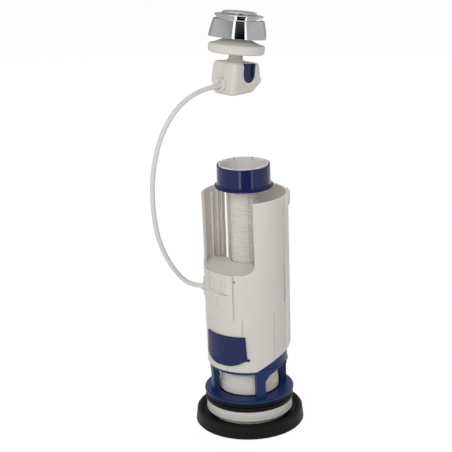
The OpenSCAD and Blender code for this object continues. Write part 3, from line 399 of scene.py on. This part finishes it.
def make_world():
    """A plain ambient light that looks white to the camera and in reflections."""
    world = bpy.data.worlds.new("studio")
    bpy.context.scene.world = world
    world.use_nodes = True
    tree = world.node_tree
    ambient = tree.nodes["Background"]
    ambient.inputs["Color"].default_value = (*AMBIENT_TINT, 1)
    ambient.inputs["Strength"].default_value = AMBIENT
    white = tree.nodes.new("ShaderNodeBackground")
    white.inputs["Color"].default_value = (1, 1, 1, 1)
    white.inputs["Strength"].default_value = 1.0
    mix = tree.nodes.new("ShaderNodeMixShader")
    tree.links.new(background_share(tree), mix.inputs["Fac"])
    tree.links.new(ambient.outputs[0], mix.inputs[1])
    tree.links.new(white.outputs[0], mix.inputs[2])
    tree.links.new(mix.outputs[0], tree.nodes["World Output"].inputs["Surface"])


def make_floor():
    """A pale floor that reads as white to the camera and keeps a share of the object's shadow."""
    mesh = bpy.data.meshes.new("floor")
    h = FLOOR_HALF
    mesh.from_pydata([(-h, -h, 0), (h, -h, 0), (h, h, 0), (-h, h, 0)], [], [(0, 1, 2, 3)])
    floor = bpy.data.objects.new("floor", mesh)
    bpy.context.scene.collection.objects.link(floor)
    material = bpy.data.materials.new("floor_white")
    material.use_nodes = True
    tree = material.node_tree
    tree.nodes.remove(tree.nodes["Principled BSDF"])
    lit = tree.nodes.new("ShaderNodeBsdfDiffuse")
    lit.inputs["Color"].default_value = (FLOOR_ALBEDO, FLOOR_ALBEDO, FLOOR_ALBEDO, 1)
    white = tree.nodes.new("ShaderNodeEmission")
    white.inputs["Strength"].default_value = FLOOR_WHITE
    share = tree.nodes.new("ShaderNodeMath")
    share.operation = "MULTIPLY"
    share.inputs[1].default_value = 1 - FLOOR_SHADOW_SHARE
    tree.links.new(background_share(tree), share.inputs[0])
    mix = tree.nodes.new("ShaderNodeMixShader")
    tree.links.new(share.outputs[0], mix.inputs["Fac"])
    tree.links.new(lit.outputs[0], mix.inputs[1])
    tree.links.new(white.outputs[0], mix.inputs[2])
    tree.links.new(mix.outputs[0], tree.nodes["Material Output"].inputs["Surface"])
    mesh.materials.append(material)


def from_object(azimuth, elevation, distance):
    """A place round the object, its azimuth counted from -Y towards +X, in degrees."""
    a, e = math.radians(azimuth), math.radians(elevation)
    aim = (cad_low + cad_high) / 2
    return aim + distance * Vector((math.sin(a) * math.cos(e), -math.cos(a) * math.cos(e), math.sin(e)))


def soft_box(name, azimuth, elevation, distance, width, height, power):
    """A large lamp aimed at the object's middle, which reflections don't see."""
    light = bpy.data.lights.new(name, "AREA")
    light.shape = "RECTANGLE"
    light.size = width
    light.size_y = height
    light.energy = power
    lamp = bpy.data.objects.new(name, light)
    place = from_object(azimuth, elevation, distance)
    aim = (cad_low + cad_high) / 2
    lamp.location = place
    lamp.rotation_euler = (aim - place).to_track_quat("-Z", "Y").to_euler()
    lamp.visible_glossy = False
    bpy.context.scene.collection.objects.link(lamp)


def reflection_card(name, azimuth, half_angle, foot, top, low_strength, high_strength):
    """An upright card that only reflections see, fading from its foot to its top."""
    half = CARD_DISTANCE * math.tan(math.radians(half_angle))
    mesh = bpy.data.meshes.new(name)
    corners = [(-half, 0, foot), (half, 0, foot), (half, 0, top), (-half, 0, top)]
    mesh.from_pydata(corners, [], [(0, 1, 2, 3)])
    card = bpy.data.objects.new(name, mesh)
    turn = Matrix.Rotation(math.radians(azimuth), 4, "Z")
    card.matrix_world = turn @ Matrix.Translation((0, -CARD_DISTANCE, 0))
    bpy.context.scene.collection.objects.link(card)
    material = bpy.data.materials.new(name)
    material.use_nodes = True
    tree = material.node_tree
    tree.nodes.remove(tree.nodes["Principled BSDF"])
    place = tree.nodes.new("ShaderNodeTexCoord")
    axes = tree.nodes.new("ShaderNodeSeparateXYZ")
    fade = tree.nodes.new("ShaderNodeMapRange")
    fade.inputs["From Min"].default_value = CARD_FADE_LOW
    fade.inputs["From Max"].default_value = CARD_FADE_HIGH
    fade.inputs["To Min"].default_value = low_strength
    fade.inputs["To Max"].default_value = high_strength
    glow = tree.nodes.new("ShaderNodeEmission")
    tree.links.new(place.outputs["Object"], axes.inputs[0])
    tree.links.new(axes.outputs["Z"], fade.inputs["Value"])
    tree.links.new(fade.outputs["Result"], glow.inputs["Strength"])
    tree.links.new(glow.outputs[0], tree.nodes["Material Output"].inputs["Surface"])
    mesh.materials.append(material)
    card.visible_camera = False
    card.visible_diffuse = False
    card.visible_shadow = False


def make_studio():
    make_world()
    make_floor()
    for name, numbers in LAMPS.items():
        soft_box(name, *numbers)
    for name, numbers in CARDS.items():
        reflection_card(name, *numbers)
    bpy.context.scene.view_settings.view_transform = "Standard"


make_camera()
materials = make_materials()
finish_cad_nodes(materials)
make_cable(materials["cable_sleeve"])
for spring_name, spring in SPRINGS.items():
    make_spring(spring_name, *spring, materials["steel"])
make_studio()
